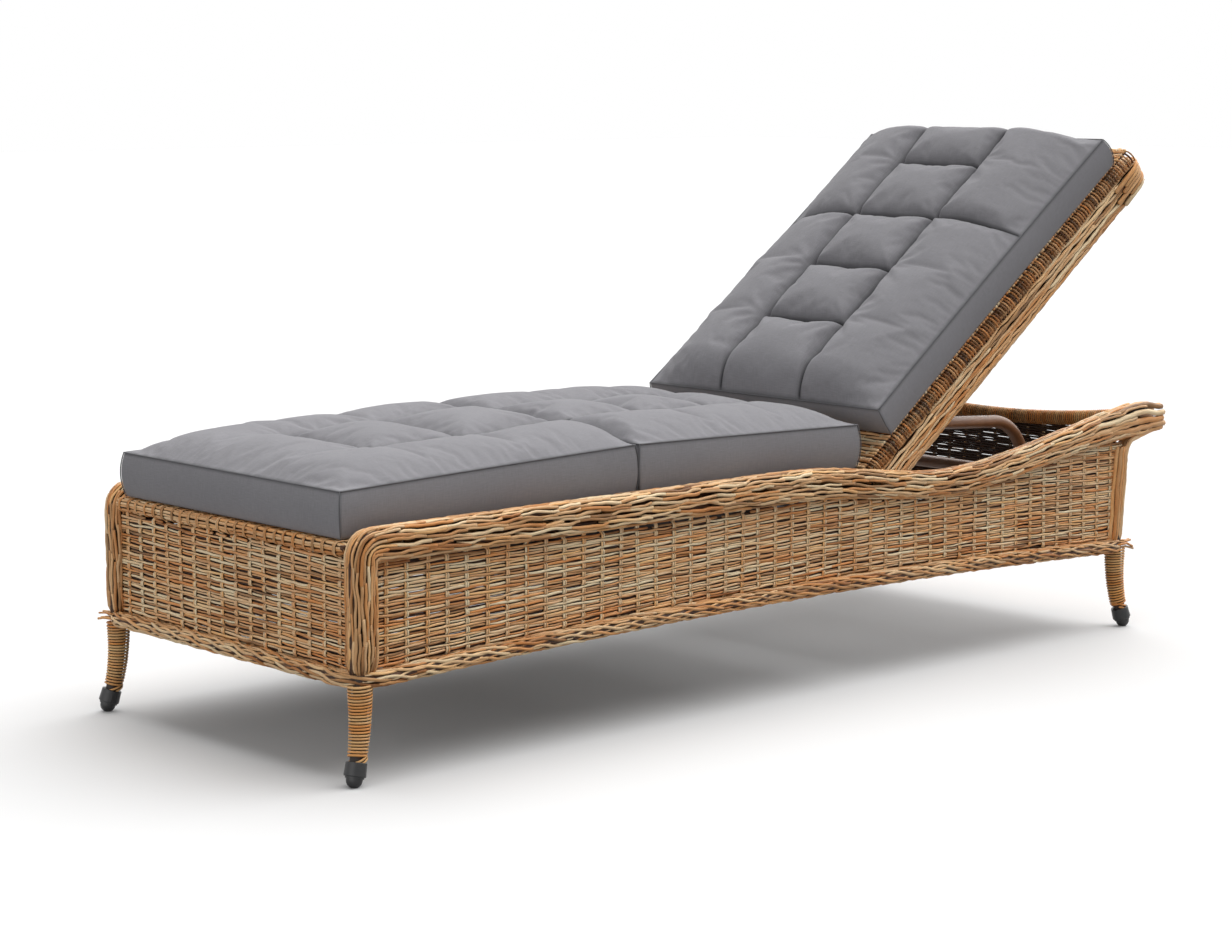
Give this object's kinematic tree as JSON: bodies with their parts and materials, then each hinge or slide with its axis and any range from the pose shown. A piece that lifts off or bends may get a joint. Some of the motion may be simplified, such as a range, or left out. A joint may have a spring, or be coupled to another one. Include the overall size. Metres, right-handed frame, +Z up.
{
  "type": "reclining sun lounger",
  "caption": "Reclining sun lounger with a woven cane base on sabre legs, a backrest on a folding prop and rack, and quilted cushions.",
  "frame": {"origin": "on the floor, at the middle of the overall box", "axes": "+X from the foot end to the head end, -Y to the left of a person lying on it, +Z up"},
  "size_m": [2.0094, 0.728, 0.9595],
  "materials": {
    "cane": "honey brown cane bundles",
    "cane_weave": "woven honey brown cane",
    "cushion_fabric": "grey linen-weave outdoor fabric over foam",
    "frame_tube": "dark brown powder coat",
    "prop_tube": "brown powder coat",
    "black_steel": "black powder coat",
    "steel": "zinc plated",
    "black_plastic": "moulded, satin"
  },
  "bodies": {
    "base": {"leg_poles": "frame_tube", "leg_wrap_foot_left": "cane", "leg_wrap_foot_right": "cane", "leg_wrap_head_left": "cane", "leg_wrap_head_right": "cane", "foot_ferrules": "black_plastic", "foot_glides": "black_plastic", "bottom_rim_foot": "cane", "bottom_rim_head": "cane", "foot_panel": "cane_weave", "head_panel": "cane_weave", "seat_deck": "cane_weave", "foot_roll": "cane", "head_roll": "cane", "lower_cross_tubes": "frame_tube", "deck_cross_tubes": "frame_tube", "frame_uprights": "frame_tube", "hinge_cross_tube": "frame_tube", "hinge_pins": "steel", "rack_screws": "steel", "leg_cushion": "cushion_fabric", "seat_cushion": "cushion_fabric", "bottom_rim_left": "cane", "bottom_rim_right": "cane", "side_rail_left": "cane", "side_rail_right": "cane", "corner_post_foot_left": "cane", "corner_post_foot_right": "cane", "corner_post_head_left": "cane", "corner_post_head_right": "cane", "side_panel_left": "cane_weave", "side_panel_right": "cane_weave", "lower_beam_left": "frame_tube", "lower_beam_right": "frame_tube", "deck_rail_left": "frame_tube", "deck_rail_right": "frame_tube", "well_rail_left": "frame_tube", "well_rail_right": "frame_tube", "hinge_bracket_left": "black_steel", "hinge_bracket_right": "black_steel", "rack_left": "black_steel", "rack_right": "black_steel"},
    "backrest": {"back_top_rail": "cane", "back_bottom_tube": "frame_tube", "prop_cross_tube": "frame_tube", "back_weave_panel": "cane_weave", "leaf_screws": "steel", "prop_pins": "steel", "back_cushion": "cushion_fabric", "back_stile_left": "cane", "back_stile_right": "cane", "hinge_leaf_left": "black_steel", "hinge_leaf_right": "black_steel", "prop_bracket_left": "black_steel", "prop_bracket_right": "black_steel"},
    "prop": {"prop_foot_bar": "prop_tube", "prop_end_caps": "black_plastic", "prop_arm_left": "prop_tube", "prop_arm_right": "prop_tube"}
  },
  "joints": [
    {"name": "backrest_recline", "type": "hinge", "parent": "base", "child": "backrest", "pos_m": [0.20581, 0, 0.333], "axis": [0, -1, 0], "range_deg": [-25, 23]},
    {"name": "prop_swing", "type": "hinge", "parent": "backrest", "child": "prop", "pos_m": [0.44919, 0, 0.42625], "axis": [0, -1, 0], "range_deg": [-45.19, 49.08]}
  ],
  "couplings": [
    {"joint": "prop_swing", "follows": "backrest_recline", "ratio": -1.9431}
  ]
}
